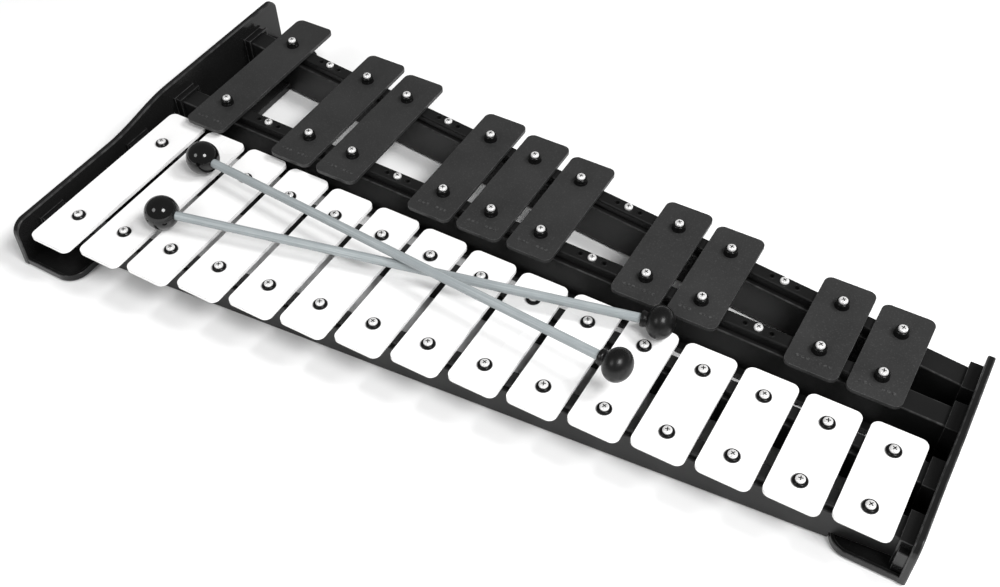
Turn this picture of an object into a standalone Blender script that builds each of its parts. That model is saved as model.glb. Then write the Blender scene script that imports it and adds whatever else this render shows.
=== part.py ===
"""Twenty-five note glockenspiel, sold as a xylophone, with its two mallets.

Two rows of metal bars sit on four rails.  The rails plug into sockets in two moulded end
casings.  X runs along the instrument from the long bars (left) to the short ones (right),
-Y is the player's side and Z is up.  The origin is on the table, at the centre of the
footprint.  Lengths are in metres.
"""
import math

import bmesh
import bpy
from mathutils import Matrix, Vector

MM = 0.001
GAP = 0.3 * MM                      # clearance between neighbouring pieces

# Bars
PITCH = 29 * MM                     # spacing of the natural bars
BAR_WIDTH = 25 * MM
BAR_THICKNESS = 2 * MM
BAR_CORNER = 3.6 * MM
LONGEST_BAR = 110 * MM              # lowest natural
SHARP_LENGTH_FACTOR = 0.98          # the sharps are cut a little shorter than the naturals
SHARP_SPACING = 0.9944              # the sharp row is spaced a little closer than the naturals
SHARP_ROW_X = -0.9 * MM             # and sits slightly to the left
SHARP_BAR_SHIFT = 0.8 * MM          # they sit a little behind the middle of their two screws
NATURAL_BAR_Z = 23.2 * MM           # undersides of the two rows
SHARP_BAR_Z = 28.6 * MM
NATURAL_COUNT = 15
LOWEST_OCTAVE = 5
NOTE_NAMES = "abcdefg"
NOTE_STEPS = (2, 1, 2, 2, 1, 2, 2)  # semitones from each note name to the next
BAR_HOLE_RADIUS = 2.5 * MM
HOLE_SIDES = 8

# Rails: centre line depth at the left and at the right end wall, and height of the top
RAIL_WIDTH = 12.0 * MM
RAIL_BOTTOM = 1.2 * MM
RAIL_REACH = 222.5 * MM             # half the length of a rail, measured along X
NATURAL_RAIL_TOP = 20.0 * MM
SHARP_RAIL_TOP = 23.5 * MM
RAILS = {
    "natural_front": (-86.8 * MM, -50.0 * MM, NATURAL_RAIL_TOP),
    "natural_rear": (-21.1 * MM, -21.1 * MM, NATURAL_RAIL_TOP),
    "sharp_front": (19.6 * MM, 9.1 * MM, SHARP_RAIL_TOP),
    "sharp_rear": (82.8 * MM, 33.4 * MM, SHARP_RAIL_TOP),
}

RAIL_FOOT_REACH = 4.5 * MM          # ledge along the foot of the sharp front rail
RAIL_FOOT_LOW, RAIL_FOOT_HIGH = 1.4 * MM, 4.0 * MM

# Strips between the rails and the bars, with a collared sleeve in each bar hole
STRIP_WIDTH = 8 * MM
STRIP_OVERHANG = 12 * MM            # past the centre of the end bars
SLEEVE_RADIUS = BAR_HOLE_RADIUS - GAP
COLLAR_RADIUS = 3.4 * MM
NATURAL_COLLAR = 1.0 * MM
SHARP_COLLAR = 2.9 * MM

# End casings
CASING_X = 227 * MM                 # outer face of each end wall
WALL = 3.5 * MM
LEFT_FRONT, LEFT_REAR = -110.3 * MM, 107.7 * MM
RIGHT_FRONT, RIGHT_REAR = -64.8 * MM, 42.4 * MM
NATURAL_WALL_TOP = 28.2 * MM
SHARP_WALL_TOP = 34.0 * MM
FRONT_RADIUS = 8 * MM
REAR_RADIUS = {-1: 6 * MM, 1: 1.5 * MM}   # the short wall ends almost square
FRONT_LEAN = 1.0 * MM               # the front edge leans out towards the table
STEP_START = -17 * MM               # the S-shaped step, from the natural rear rail...
STEP_END = -8 * MM                  # ...to the sharp front rail
WALL_BOTTOM = 0.9 * MM
FLOOR_BOTTOM = 1.2 * MM
FLOOR_INSET = 0.4 * MM              # the flange ends just inside the wall's ends
FLOOR_TOP = 3.6 * MM
FLOOR_REACH = 35.5 * MM             # from the outer face inwards
FLOOR_CORNER = 10 * MM
LIP_TOP = 5.0 * MM
LIP_WIDTH = 1.8 * MM
REBATE_Z = LIP_TOP + GAP            # rail ends are rebated to pass over the lip
SOCKET_WALL = 1.8 * MM
SOCKET_DEPTH = 5.5 * MM
POCKET_FLOOR = LIP_TOP
CORNER_BLOCK_TOP = 18 * MM
CORNER_BLOCK_INSET = 3.1 * MM       # from the front end of the wall

# Feet and fasteners
FOOT_RADIUS = 6 * MM
FOOT_HEIGHT = 1.8 * MM
FOOT_INSET_X = 25 * MM
FOOT_INSET_Y = 11 * MM
SCREW_RADIUS = 1.3 * MM
SCREW_HEAD_RADIUS = 2.3 * MM
SCREW_HEAD_HEIGHT = 1.6 * MM
STRIP_SCREW_LENGTH = 9 * MM
CASING_SCREW_LENGTH = 11 * MM
CASING_SCREW_INSET = 12 * MM
SCREW_SIDES = 10

# Mallets, from the centre of the ball head to the centre of the grip knob
HEAD_RADIUS = 8.8 * MM
SHAFT_RADIUS = 2.35 * MM
MALLET_REACH = 255 * MM
KNOB_RADIUS = 8.1 * MM
KNOB_HALF_LENGTH = 6.8 * MM
KNOB_COLLAR_RADIUS = 3.9 * MM
KNOB_COLLAR_LENGTH = 4.5 * MM
SOCKET_IN_HEAD = 5 * MM             # how near the shaft ends come to the centres
LOWER_HEAD_XY = (-158.7 * MM, -68.3 * MM)
LOWER_HEADING = math.radians(13.0)
UPPER_HEAD_XY = (-167.3 * MM, -26.3 * MM)
UPPER_HEADING = math.radians(-5.1)
CROSSING_CLEARANCE = 0.4 * MM

MATERIALS = {
    # name: colour, metallic, roughness
    "white_paint": ((0.86, 0.87, 0.86), 0.0, 0.25),
    "black_paint": ((0.040, 0.040, 0.043), 0.2, 0.45),
    "black_plastic": ((0.012, 0.012, 0.014), 0.0, 0.25),
    "black_rail": ((0.022, 0.022, 0.024), 0.0, 0.55),
    "black_rubber": ((0.018, 0.018, 0.019), 0.0, 0.75),
    "chrome": ((0.80, 0.81, 0.82), 1.0, 0.12),
    "grey_plastic": ((0.42, 0.46, 0.48), 0.0, 0.40),
    "gloss_black": ((0.006, 0.006, 0.007), 0.0, 0.08),
}


# ---------------------------------------------------------------- helpers

def clear_scene():
    for obj in list(bpy.data.objects):
        bpy.data.objects.remove(obj)


def make_collection(name):
    collection = bpy.data.collections.new(name)
    bpy.context.scene.collection.children.link(collection)
    return collection


def make_material(name):
    colour, metallic, roughness = MATERIALS[name]
    material = bpy.data.materials.new(name)
    material.use_nodes = True
    shader = material.node_tree.nodes["Principled BSDF"]
    shader.inputs["Base Color"].default_value = (*colour, 1)
    shader.inputs["Metallic"].default_value = metallic
    shader.inputs["Roughness"].default_value = roughness
    return material


def add_part(name, mesh, material):
    """Put a mesh in the part collection under a node name, with its own material."""
    obj = bpy.data.objects.new(name, mesh)
    mesh.materials.clear()
    mesh.materials.append(make_material(material))
    parts.objects.link(obj)
    return obj


def add_tool(name, mesh):
    """Put a mesh in the cutters collection: it shapes a part and is no part itself."""
    obj = bpy.data.objects.new(name, mesh)
    obj.hide_render = True
    obj.display_type = "WIRE"
    cutters.objects.link(obj)
    return obj


def boolean(target, tool, operation):
    modifier = target.modifiers.new(f"{operation.lower()}_{tool.name}", "BOOLEAN")
    modifier.operation = operation
    modifier.object = tool
    modifier.solver = "EXACT"


def mesh_from(bm, name):
    bmesh.ops.recalc_face_normals(bm, faces=bm.faces)
    mesh = bpy.data.meshes.new(name)
    bm.to_mesh(mesh)
    bm.free()
    return mesh


def smooth(mesh, angle=35):
    mesh.shade_smooth()
    mesh.set_sharp_from_angle(angle=math.radians(angle))


def arc(centre, radius, start, end, steps):
    """Points on an arc, both ends included, angles in degrees."""
    points = []
    for i in range(steps + 1):
        angle = math.radians(start + (end - start) * i / steps)
        points.append((centre[0] + radius * math.cos(angle), centre[1] + radius * math.sin(angle)))
    return points


def circle(centre, radius, sides):
    return arc(centre, radius, 0, 360, sides)[:-1]


def rounded_rectangle(x0, x1, y0, y1, radii, steps):
    """Counter-clockwise outline; radii are for the corners x1y1, x0y1, x0y0, x1y0."""
    corners = ((x1, y1, -1, -1, 0), (x0, y1, 1, -1, 90), (x0, y0, 1, 1, 180), (x1, y0, -1, 1, 270))
    outline = []
    for (x, y, sx, sy, start), radius in zip(corners, radii):
        if radius:
            outline += arc((x + sx * radius, y + sy * radius), radius, start, start + 90, steps)
        else:
            outline.append((x, y))
    return outline


def plate_mesh(name, outlines, thickness):
    """A flat solid centred on z = 0; outlines after the first are holes."""
    curve = bpy.data.curves.new(name + "_outline", "CURVE")
    curve.dimensions = "2D"
    curve.fill_mode = "BOTH"
    curve.extrude = thickness / 2
    for outline in outlines:
        spline = curve.splines.new("POLY")
        spline.points.add(len(outline) - 1)
        for point, (u, v) in zip(spline.points, outline):
            point.co = (u, v, 0, 1)
        spline.use_cyclic_u = True
    guide = bpy.data.objects.new(curve.name, curve)
    cutters.objects.link(guide)
    depsgraph = bpy.context.evaluated_depsgraph_get()
    flat = bpy.data.meshes.new_from_object(guide.evaluated_get(depsgraph))
    bpy.data.objects.remove(guide)
    bm = bmesh.new()
    bm.from_mesh(flat)
    bmesh.ops.remove_doubles(bm, verts=bm.verts, dist=0.001 * MM)
    return mesh_from(bm, name)


def prism_mesh(name, outline, axis, low, high):
    """A solid with one flat outline, reaching from low to high along an axis (0, 1 or 2)."""
    bm = bmesh.new()
    verts = []
    for u, v in outline:
        point = [u, v]
        point.insert(axis, low)
        verts.append(bm.verts.new(point))
    sweep = [0, 0, 0]
    sweep[axis] = high - low
    end = bmesh.ops.extrude_face_region(bm, geom=[bm.faces.new(verts)])["geom"]
    end_verts = [item for item in end if isinstance(item, bmesh.types.BMVert)]
    bmesh.ops.translate(bm, verts=end_verts, vec=sweep)
    return mesh_from(bm, name)


def boxes_mesh(name, boxes):
    """Separate boxes in one mesh, each given as (centre, size, turn about Z)."""
    bm = bmesh.new()
    for centre, size, turn in boxes:
        place = Matrix.Translation(centre) @ Matrix.Rotation(turn, 4, "Z") @ Matrix.Diagonal((*size, 1))
        bmesh.ops.create_cube(bm, size=1, matrix=place)
    return mesh_from(bm, name)


def cylinders_mesh(name, cylinders, sides):
    """Separate upright cylinders in one mesh, each given as (x, y, low z, high z, radius)."""
    bm = bmesh.new()
    for x, y, low, high, radius in cylinders:
        bmesh.ops.create_cone(bm, cap_ends=True, segments=sides, radius1=radius, radius2=radius,
                              depth=high - low, matrix=Matrix.Translation((x, y, (low + high) / 2)))
    return mesh_from(bm, name)


def turn_profile(obj, sides):
    """Revolve a profile object about its Z axis."""
    screw = obj.modifiers.new("turn", "SCREW")
    screw.axis = "Z"
    screw.steps = sides
    screw.render_steps = sides
    screw.use_merge_vertices = True
    screw.merge_threshold = 0.001 * MM
    screw.use_smooth_shade = True


def profile_mesh(name, profile):
    """An open profile of (radius, z) points, running from the top down the outer side."""
    mesh = bpy.data.meshes.new(name)
    edges = [(i, i + 1) for i in range(len(profile) - 1)]
    mesh.from_pydata([(radius, 0, z) for radius, z in profile], edges, [])
    return mesh


# ---------------------------------------------------------------- layout

def rail_y(name, x):
    """Depth of a rail's centre line at a given place along the instrument."""
    left, right, _ = RAILS[name]
    return left + (right - left) * (x + CASING_X) / (2 * CASING_X)


def rail_turn(name):
    left, right, _ = RAILS[name]
    return math.atan2(right - left, 2 * CASING_X)


def lay_out_notes():
    """Bars as (node name, x, semitone, is_sharp), and the x of the empty slots between naturals."""
    bars, empty_slots = [], []
    semitone = 0
    for k in range(NATURAL_COUNT):
        note = NOTE_NAMES[k % 7]
        octave = LOWEST_OCTAVE + (k + 5) // 7
        x = (k - (NATURAL_COUNT - 1) / 2) * PITCH
        sharp_x = (x + PITCH / 2) * SHARP_SPACING + SHARP_ROW_X
        bars.append((f"bar_{note}{octave}", x, semitone, False))
        step = NOTE_STEPS[k % 7]
        if k < NATURAL_COUNT - 1:
            if step == 2:
                bars.append((f"bar_{note}_sharp{octave}", sharp_x, semitone + 1, True))
            else:
                empty_slots.append(sharp_x)
        semitone += step
    return bars, empty_slots


def bar_length(semitone, is_sharp):
    """A plain bar's pitch rises as the inverse square of its length."""
    length = LONGEST_BAR * 2 ** (-semitone / 24)
    return length * SHARP_LENGTH_FACTOR if is_sharp else length


# ---------------------------------------------------------------- bars

def make_bar(name, x, semitone, is_sharp):
    row = "sharp" if is_sharp else "natural"
    front, rear = rail_y(row + "_front", x), rail_y(row + "_rear", x)
    centre = (front + rear) / 2 + (SHARP_BAR_SHIFT if is_sharp else 0)
    half = bar_length(semitone, is_sharp) / 2
    outline = rounded_rectangle(-BAR_WIDTH / 2, BAR_WIDTH / 2, -half, half, [BAR_CORNER] * 4, 2)
    holes = [circle((0, y - centre), BAR_HOLE_RADIUS, HOLE_SIDES) for y in (front, rear)]
    mesh = plate_mesh(name, [outline] + holes, BAR_THICKNESS)
    bar = add_part(name, mesh, "black_paint" if is_sharp else "white_paint")
    bottom = SHARP_BAR_Z if is_sharp else NATURAL_BAR_Z
    bar.location = (x, centre, bottom + BAR_THICKNESS / 2)


# ---------------------------------------------------------------- rails and strips

def make_rail(name, screw_points):
    """A deep beam with rebated ends; screw_points are (x, low z, high z) of its screw holes."""
    left, right, top = RAILS[name]
    half = RAIL_REACH / math.cos(rail_turn(name))
    shoulder = (CASING_X - FLOOR_REACH - 2 * GAP - RAIL_WIDTH * abs(math.tan(rail_turn(name))))
    side = [(-half, REBATE_Z), (-shoulder, REBATE_Z), (-shoulder, RAIL_BOTTOM),
            (shoulder, RAIL_BOTTOM), (shoulder, REBATE_Z), (half, REBATE_Z), (half, top), (-half, top)]
    mesh = prism_mesh(name + "_rail", side, 1, -RAIL_WIDTH / 2, RAIL_WIDTH / 2)
    rail = add_part(name + "_rail", mesh, "black_rail")
    rail.location = (0, (left + right) / 2, 0)
    rail.rotation_euler.z = rail_turn(name)
    if name == "sharp_front":
        middle, height = (RAIL_FOOT_LOW + RAIL_FOOT_HIGH) / 2, RAIL_FOOT_HIGH - RAIL_FOOT_LOW
        size = (2 * shoulder - 1 * MM, RAIL_WIDTH / 2 + RAIL_FOOT_REACH, height)
        foot = add_tool(name + "_foot", boxes_mesh(name + "_foot", [((0, -size[1] / 2, middle), size, 0)]))
        foot.location = rail.location
        foot.rotation_euler.z = rail_turn(name)
        boolean(rail, foot, "UNION")
    holes = [(x, rail_y(name, x), low, high, SCREW_RADIUS + GAP) for x, low, high in screw_points]
    if holes:
        tool = add_tool(name + "_rail_screw_holes",
                        cylinders_mesh(name + "_holes", holes, SCREW_SIDES))
        boolean(rail, tool, "DIFFERENCE")


def grommet_mesh(low, bar_top, collar_height):
    """Sleeve through the bar hole with a collar over the bar, as a closed turned solid."""
    under = bar_top + GAP
    profile = [(0, under + collar_height), (COLLAR_RADIUS, under + collar_height),
               (COLLAR_RADIUS, under), (SLEEVE_RADIUS, under), (SLEEVE_RADIUS, low), (0, low)]
    guide = bpy.data.objects.new("grommet_profile", profile_mesh("grommet_profile", profile))
    cutters.objects.link(guide)
    turn_profile(guide, HOLE_SIDES)
    depsgraph = bpy.context.evaluated_depsgraph_get()
    mesh = bpy.data.meshes.new_from_object(guide.evaluated_get(depsgraph))
    bpy.data.objects.remove(guide)
    return mesh


def make_strip(name, bar_xs, empty_slots, screw_rail):
    """The strip on one rail: grommets where bars sit, screw holes in the empty slots."""
    is_sharp = name.startswith("sharp")
    top = (SHARP_BAR_Z if is_sharp else NATURAL_BAR_Z) - GAP
    bar_top = top + GAP + BAR_THICKNESS
    turn = rail_turn(name)
    height = top - RAILS[name][2] - GAP
    low_x, high_x = min(bar_xs) - STRIP_OVERHANG, max(bar_xs) + STRIP_OVERHANG
    middle = (low_x + high_x) / 2
    size = ((high_x - low_x) / math.cos(turn), STRIP_WIDTH, height)
    place = (middle, rail_y(name, middle), top - height / 2)
    strip = add_part(name + "_strip", boxes_mesh(name + "_strip", [(place, size, turn)]),
                     "black_rubber")
    collar = SHARP_COLLAR if is_sharp else NATURAL_COLLAR
    grommet = grommet_mesh(top - height / 2, bar_top, collar)
    bm = bmesh.new()
    for x in bar_xs:
        placed = grommet.copy()
        placed.transform(Matrix.Translation((x, rail_y(name, x), 0)))
        bm.from_mesh(placed)
    boolean(strip, add_tool(name + "_grommets", mesh_from(bm, name + "_grommets")), "UNION")
    if screw_rail:
        holes = [(x, rail_y(name, x), top - 2 * height, top + height, SCREW_RADIUS + GAP)
                 for x in empty_slots]
        tool = add_tool(name + "_strip_screw_holes",
                        cylinders_mesh(name + "_strip_holes", holes, SCREW_SIDES))
        boolean(strip, tool, "DIFFERENCE")


def make_screw(name, x, y, head_z, length, head_up):
    """A pan-head screw; head_z is the face under its head."""
    profile = [(0, SCREW_HEAD_HEIGHT), (0.6 * SCREW_HEAD_RADIUS, 0.94 * SCREW_HEAD_HEIGHT),
               (SCREW_HEAD_RADIUS, 0.45 * SCREW_HEAD_HEIGHT), (SCREW_HEAD_RADIUS, 0),
               (SCREW_RADIUS, 0), (SCREW_RADIUS, -0.8 * length), (0, -length)]
    screw = add_part(name, profile_mesh(name, profile), "chrome")
    turn_profile(screw, SCREW_SIDES)
    screw.location = (x, y, head_z)
    if not head_up:
        screw.rotation_euler.x = math.pi


# ---------------------------------------------------------------- end casings

def wall_outline(front, rear, side):
    """Side view (y, z) of an end wall: rounded ends and an S-shaped step in the top edge."""
    end_x = side * CASING_X
    step_start = rail_y("natural_rear", end_x) + STEP_START
    step_end = rail_y("sharp_front", end_x) + STEP_END
    outline = [(front, WALL_BOTTOM), (rear, WALL_BOTTOM)]
    radius = REAR_RADIUS[side]
    outline += arc((rear - radius, SHARP_WALL_TOP - radius), radius, 0, 90, 4)
    steps = 10
    for i in range(steps + 1):
        t = i / steps
        y = step_end + (step_start - step_end) * t
        z = NATURAL_WALL_TOP + (SHARP_WALL_TOP - NATURAL_WALL_TOP) * (1 + math.cos(math.pi * t)) / 2
        outline.append((y, z))
    corner = (front + FRONT_LEAN + FRONT_RADIUS, NATURAL_WALL_TOP - FRONT_RADIUS)
    return outline + arc(corner, FRONT_RADIUS, 90, 180, 5)


def floor_mesh(name, front, rear, side):
    """Floor flange of a casing, with a raised lip round it; it starts inside the end wall."""
    outer = side * (CASING_X - WALL / 2 + LIP_WIDTH / 2)
    inner = side * (CASING_X - FLOOR_REACH)
    radii = (0, FLOOR_CORNER, FLOOR_CORNER, 0) if side > 0 else (FLOOR_CORNER, 0, 0, FLOOR_CORNER)
    outline = rounded_rectangle(min(outer, inner), max(outer, inner),
                                front + FLOOR_INSET, rear - FLOOR_INSET, radii, 5)
    bm = bmesh.new()
    bm.from_mesh(prism_mesh(name, outline, 2, FLOOR_BOTTOM, LIP_TOP))
    top = max(bm.faces, key=lambda face: face.calc_center_median().z)
    bmesh.ops.inset_region(bm, faces=[top], thickness=LIP_WIDTH, use_even_offset=True)
    sunk = bmesh.ops.extrude_face_region(bm, geom=[top])["geom"]
    sunk_verts = [item for item in sunk if isinstance(item, bmesh.types.BMVert)]
    bmesh.ops.translate(bm, verts=sunk_verts, vec=(0, 0, FLOOR_TOP - LIP_TOP))
    bmesh.ops.delete(bm, geom=[top], context="FACES_ONLY")
    return mesh_from(bm, name)


def make_casing(name, side, front, rear):
    """One end casing: wall, floor flange with a lip, four rail sockets and two foot recesses."""
    faces = sorted((side * (CASING_X - WALL), side * CASING_X))
    casing = add_part(name, prism_mesh(name, wall_outline(front, rear, side), 0, *faces),
                      "black_plastic")
    boolean(casing, add_tool(name + "_floor", floor_mesh(name + "_floor", front, rear, side)), "UNION")

    sockets, pockets = [], []
    low = (FLOOR_BOTTOM + FLOOR_TOP) / 2
    socket_x = side * (CASING_X - WALL - SOCKET_DEPTH / 2 + WALL / 4)
    pocket_x = side * (RAIL_REACH + GAP - SOCKET_DEPTH)
    for rail, (_, _, top) in RAILS.items():
        high = top + GAP + SOCKET_WALL
        size = (SOCKET_DEPTH + WALL / 2, RAIL_WIDTH + 2 * (SOCKET_WALL + GAP), high - low)
        sockets.append(((socket_x, rail_y(rail, socket_x), (low + high) / 2), size, 0))
        size = (2 * SOCKET_DEPTH, RAIL_WIDTH + 2 * GAP, top + GAP - POCKET_FLOOR)
        place = (pocket_x, rail_y(rail, pocket_x), (POCKET_FLOOR + top + GAP) / 2)
        pockets.append((place, size, rail_turn(rail)))
    boolean(casing, add_tool(name + "_sockets", boxes_mesh(name + "_sockets", sockets)), "UNION")
    boolean(casing, add_tool(name + "_pockets", boxes_mesh(name + "_pockets", pockets)), "DIFFERENCE")
    return casing


def add_corner_block(casing, front, side):
    """A low stiffening block between the front socket and the front corner."""
    socket_edge = rail_y("natural_front", side * CASING_X) - RAIL_WIDTH / 2 - SOCKET_WALL
    low, high = front + CORNER_BLOCK_INSET, socket_edge + 0.5 * MM
    face = CASING_X - WALL
    bottom = (FLOOR_BOTTOM + FLOOR_TOP) / 2
    block = boxes_mesh("corner_block", [
        ((side * (face - SOCKET_DEPTH / 2 + WALL / 4), (low + high) / 2, (bottom + CORNER_BLOCK_TOP) / 2),
         (SOCKET_DEPTH + WALL / 2 - 1.5 * MM, high - low, CORNER_BLOCK_TOP - bottom), 0)])
    boolean(casing, add_tool(casing.name + "_corner_block", block), "UNION")


def foot_places(front, rear, side):
    x = side * (CASING_X - FOOT_INSET_X)
    return [(x, front + FOOT_INSET_Y), (x, rear - FOOT_INSET_Y)]


def screw_places(side):
    x = side * (CASING_X - CASING_SCREW_INSET)
    return [(rail, x, rail_y(rail, x)) for rail in ("natural_front", "sharp_rear")]


def cut_casing_underside(casing, front, rear, side):
    """Recesses for the feet, and counterbored holes for the casing screws."""
    feet = [(x, y, 0, FOOT_HEIGHT + GAP, FOOT_RADIUS + GAP) for x, y in foot_places(front, rear, side)]
    tool = add_tool(casing.name + "_foot_recesses",
                    cylinders_mesh(casing.name + "_foot_recesses", feet, 2 * SCREW_SIDES))
    boolean(casing, tool, "DIFFERENCE")
    heads = [(x, y, 0, SCREW_HEAD_HEIGHT + FLOOR_BOTTOM + 0.1 * MM, SCREW_HEAD_RADIUS + GAP)
             for _, x, y in screw_places(side)]
    shanks = [(x, y, FLOOR_BOTTOM, 2 * LIP_TOP, SCREW_RADIUS + GAP) for _, x, y in screw_places(side)]
    for label, cylinders in (("counterbores", heads), ("screw_holes", shanks)):
        tool_mesh = cylinders_mesh(f"{casing.name}_{label}", cylinders, SCREW_SIDES)
        boolean(casing, add_tool(f"{casing.name}_{label}", tool_mesh), "DIFFERENCE")


def make_feet(label, front, rear, side):
    for place, (x, y) in zip(("front", "rear"), foot_places(front, rear, side)):
        profile = [(0, FOOT_HEIGHT), (FOOT_RADIUS, FOOT_HEIGHT), (FOOT_RADIUS, 0.3 * MM),
                   (FOOT_RADIUS - 0.3 * MM, 0), (0, 0)]
        foot = add_part(f"foot_{label}_{place}", profile_mesh("foot", profile), "black_rubber")
        turn_profile(foot, 2 * SCREW_SIDES)
        foot.location = (x, y, 0)


# ---------------------------------------------------------------- mallets

def ball_profile():
    """Ball with a bore for the shaft; the shaft leaves along +Z."""
    bore = SHAFT_RADIUS + GAP
    floor = SOCKET_IN_HEAD - GAP
    start = math.degrees(math.asin(bore / HEAD_RADIUS))
    outer = [(HEAD_RADIUS * math.sin(math.radians(a)), HEAD_RADIUS * math.cos(math.radians(a)))
             for a in (start + (180 - start) * i / 9 for i in range(10))]
    outer[-1] = (0, -HEAD_RADIUS)
    return [(0, floor), (bore, floor)] + outer


def knob_profile():
    """Oval grip knob with a short collar; the shaft enters from -Z through the collar."""
    bore = SHAFT_RADIUS + GAP
    ceiling = -SOCKET_IN_HEAD / 2
    join = math.degrees(math.acos(KNOB_COLLAR_RADIUS / KNOB_RADIUS))
    outer = [(KNOB_RADIUS * math.cos(math.radians(a)), KNOB_HALF_LENGTH * math.sin(math.radians(a)))
             for a in (90 - (90 + join) * i / 9 for i in range(10))]
    outer[0] = (0, KNOB_HALF_LENGTH)
    collar_end = outer[-1][1] - KNOB_COLLAR_LENGTH
    return outer + [(KNOB_COLLAR_RADIUS, collar_end), (bore, collar_end), (bore, ceiling), (0, ceiling)]


def shaft_profile():
    high, low = MALLET_REACH - SOCKET_IN_HEAD / 2 - GAP, SOCKET_IN_HEAD
    return [(0, high), (SHAFT_RADIUS, high), (SHAFT_RADIUS, low), (0, low)]


def make_mallet(label, head_centre, heading, rise):
    """A mallet under one empty at the centre of its ball; local Z runs along the shaft."""
    holder = bpy.data.objects.new(f"mallet_{label}", None)
    parts.objects.link(holder)
    holder.location = head_centre
    holder.rotation_euler = (0, math.pi / 2 - rise, heading)
    pieces = ((f"mallet_{label}_head", ball_profile(), 20, "gloss_black", 0),
              (f"mallet_{label}_shaft", shaft_profile(), 12, "grey_plastic", 0),
              (f"mallet_{label}_knob", knob_profile(), 16, "black_rubber", MALLET_REACH))
    for name, profile, sides, material, offset in pieces:
        piece = add_part(name, profile_mesh(name, profile), material)
        turn_profile(piece, sides)
        piece.parent = holder
        piece.location.z = offset


def make_mallets():
    """The lower mallet rests on head and knob; the upper one rests on its head and the lower shaft."""
    bar_top = NATURAL_BAR_Z + BAR_THICKNESS
    head_z = bar_top + GAP + HEAD_RADIUS
    knob_z = bar_top + GAP + KNOB_RADIUS
    lower_head = Vector((*LOWER_HEAD_XY, head_z))
    upper_head = Vector((*UPPER_HEAD_XY, head_z))
    lower_rise = math.asin((knob_z - head_z) / MALLET_REACH)
    lower_way = Vector((math.cos(LOWER_HEADING), math.sin(LOWER_HEADING)))
    upper_way = Vector((math.cos(UPPER_HEADING), math.sin(UPPER_HEADING)))
    apart = (upper_head - lower_head).xy
    crossing = lower_way.cross(upper_way)
    lower_run = apart.cross(upper_way) / crossing
    upper_run = apart.cross(lower_way) / crossing
    lower_z = head_z + lower_run * math.tan(lower_rise)
    upper_z = lower_z + 2 * SHAFT_RADIUS + CROSSING_CLEARANCE
    upper_rise = math.atan((upper_z - head_z) / upper_run)
    make_mallet("lower", lower_head, LOWER_HEADING, lower_rise)
    make_mallet("upper", upper_head, UPPER_HEADING, upper_rise)


# ---------------------------------------------------------------- assembly

clear_scene()
parts = make_collection("xylophone")
cutters = make_collection("cutters")

bars, empty_slots = lay_out_notes()
for bar in bars:
    make_bar(*bar)

strip_screw_low = SHARP_BAR_Z - GAP - STRIP_SCREW_LENGTH
for rail in RAILS:
    is_sharp_rail = rail.startswith("sharp")
    bar_xs = [x for _, x, _, is_sharp in bars if is_sharp == is_sharp_rail]
    make_strip(rail, bar_xs, empty_slots, is_sharp_rail)
    screw_points = []
    if is_sharp_rail:
        screw_points += [(x, strip_screw_low - 1 * MM, SHARP_BAR_Z) for x in empty_slots]
    for side in (-1, 1):
        screw_points += [(x, 0, CASING_SCREW_LENGTH + LIP_TOP)
                         for name, x, _ in screw_places(side) if name == rail]
    make_rail(rail, screw_points)

for number, x in enumerate(empty_slots, start=1):
    for place in ("front", "rear"):
        make_screw(f"strip_screw_{place}_{number}", x, rail_y("sharp_" + place, x),
                   SHARP_BAR_Z, STRIP_SCREW_LENGTH, True)

for label, side, front, rear in (("left", -1, LEFT_FRONT, LEFT_REAR),
                                 ("right", 1, RIGHT_FRONT, RIGHT_REAR)):
    casing = make_casing(f"{label}_casing", side, front, rear)
    if label == "right":
        add_corner_block(casing, front, side)
    cut_casing_underside(casing, front, rear, side)
    make_feet(label, front, rear, side)
    for rail, x, y in screw_places(side):
        make_screw(f"casing_screw_{label}_{rail}", x, y,
                   FLOOR_BOTTOM + SCREW_HEAD_HEIGHT - 0.2 * MM, CASING_SCREW_LENGTH, False)

make_mallets()
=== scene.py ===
"""Visual model of the twenty-five note glockenspiel and its two mallets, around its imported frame.

Lengths are in metres, in the frame's own axes: X runs from the long bars to the short ones,
-Y is the player's side and Z is up.
"""

import math

import bmesh
import bpy
from mathutils import Matrix, Vector


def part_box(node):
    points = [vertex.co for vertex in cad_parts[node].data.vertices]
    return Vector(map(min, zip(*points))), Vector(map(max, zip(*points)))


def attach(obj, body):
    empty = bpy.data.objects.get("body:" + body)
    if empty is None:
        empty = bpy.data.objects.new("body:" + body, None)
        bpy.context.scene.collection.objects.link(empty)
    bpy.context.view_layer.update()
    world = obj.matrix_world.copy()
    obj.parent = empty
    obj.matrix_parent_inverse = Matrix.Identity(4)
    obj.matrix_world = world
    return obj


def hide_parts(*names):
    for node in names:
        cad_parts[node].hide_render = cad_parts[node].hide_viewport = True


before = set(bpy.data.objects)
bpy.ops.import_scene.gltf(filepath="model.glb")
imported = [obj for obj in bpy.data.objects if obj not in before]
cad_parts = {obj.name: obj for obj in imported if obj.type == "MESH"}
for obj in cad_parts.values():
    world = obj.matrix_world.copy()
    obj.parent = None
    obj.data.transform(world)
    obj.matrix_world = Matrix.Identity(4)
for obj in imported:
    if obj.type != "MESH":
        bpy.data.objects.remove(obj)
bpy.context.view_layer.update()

MM = 0.001
BODY = "instrument"

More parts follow.
